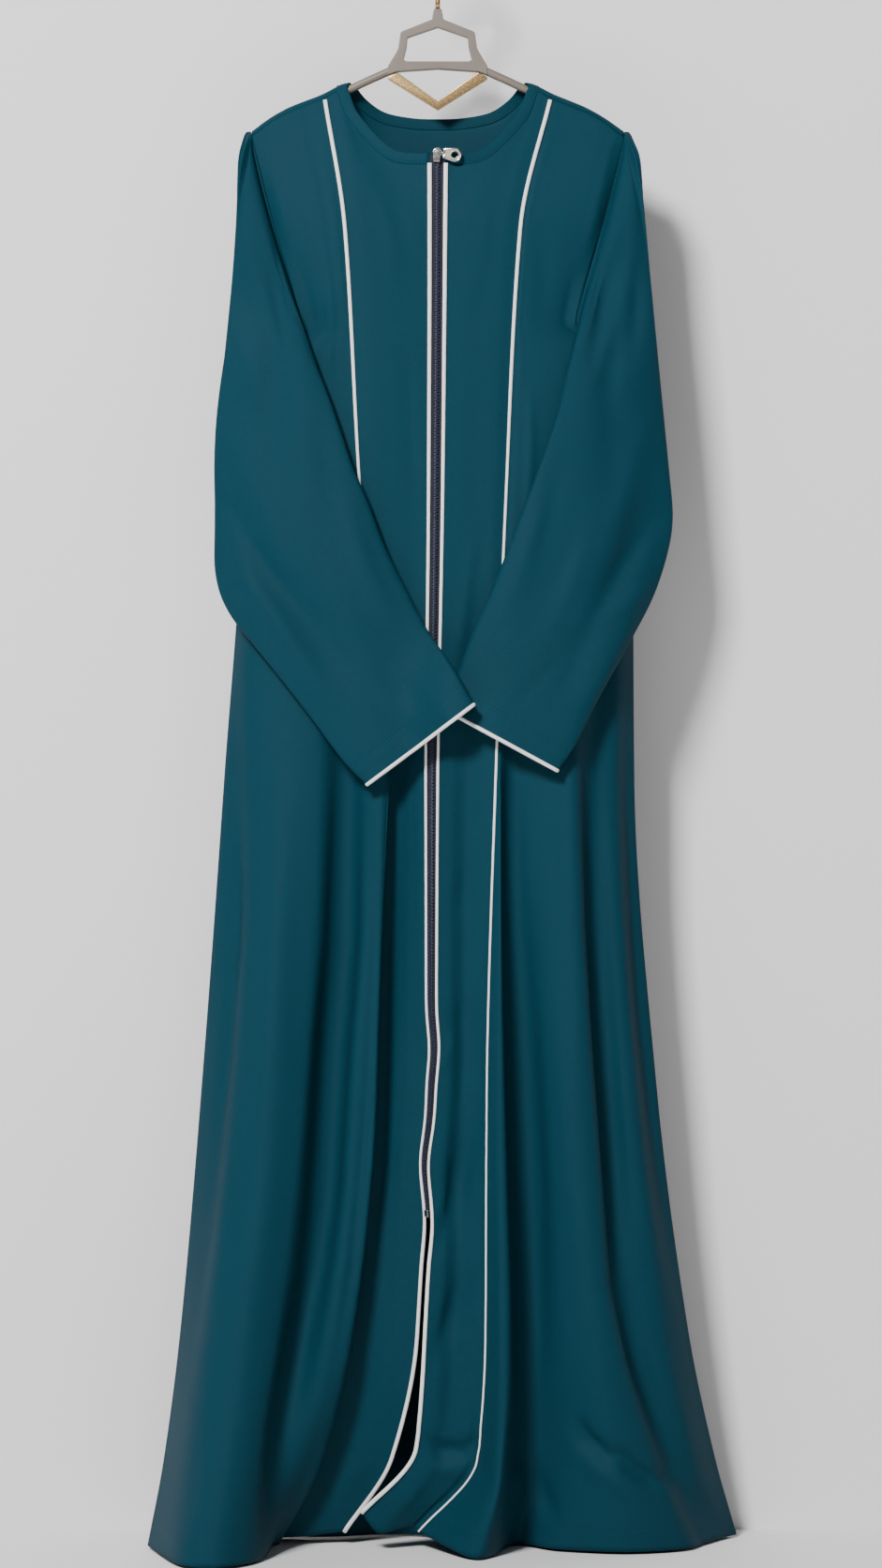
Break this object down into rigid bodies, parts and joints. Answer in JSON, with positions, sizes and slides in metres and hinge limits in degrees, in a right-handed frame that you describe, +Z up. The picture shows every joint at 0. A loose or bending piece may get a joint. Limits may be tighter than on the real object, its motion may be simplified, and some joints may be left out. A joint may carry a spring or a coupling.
{
  "type": "abaya on a hanger",
  "caption": "Floor-length zip-front abaya with piped seams and folded long sleeves, held flat on a moulded clothes hanger.",
  "frame": {"origin": "inside of the hook's top, where it rests on a rail", "axes": "+Z up along the height, -Y out of the front, +X to the viewer's right from the front"},
  "size_m": [0.5949, 0.1896, 1.62],
  "materials": {
    "cloth": "matte satin plain weave, dark teal",
    "piping": "off-white satin cord piping",
    "zip_tape": "navy woven tape",
    "zip_coil": "navy nylon coil",
    "zip_metal": "bright silver plating",
    "hanger_plastic": "satin taupe",
    "hanger_gold": "polished pale gold plating"
  },
  "bodies": {
    "garment": {"side_left": "cloth", "front_left": "cloth", "front_right": "cloth", "side_right": "cloth", "back": "cloth", "neckband": "cloth", "sleeve_left": "cloth", "sleeve_right": "cloth", "princess_piping_left": "piping", "princess_piping_right": "piping", "front_piping_left": "piping", "front_piping_right": "piping", "cuff_piping_left": "piping", "cuff_piping_right": "piping", "zip_tape_left": "zip_tape", "zip_tape_right": "zip_tape", "zip_coil": "zip_coil", "zip_stop": "zip_metal", "zip_slider": "zip_metal", "hanger_frame": "hanger_plastic", "hanger_brace": "hanger_gold", "hanger_hook": "hanger_gold"},
    "zip_link": {"zip_link": "zip_metal"},
    "zip_pull_tab": {"zip_pull_tab": "zip_metal"}
  },
  "joints": [
    {"name": "link_swing", "type": "hinge", "parent": "garment", "child": "zip_link", "pos_m": [-0.0001, -0.0302, -0.2244], "axis": [0, 1, 0], "range_deg": [-60, 200]},
    {"name": "tab_lift", "type": "hinge", "parent": "zip_link", "child": "zip_pull_tab", "pos_m": [0.0052, -0.0302, -0.2252], "axis": [-0.1395, 0, -0.9902], "range_deg": [0, 100]}
  ]
}
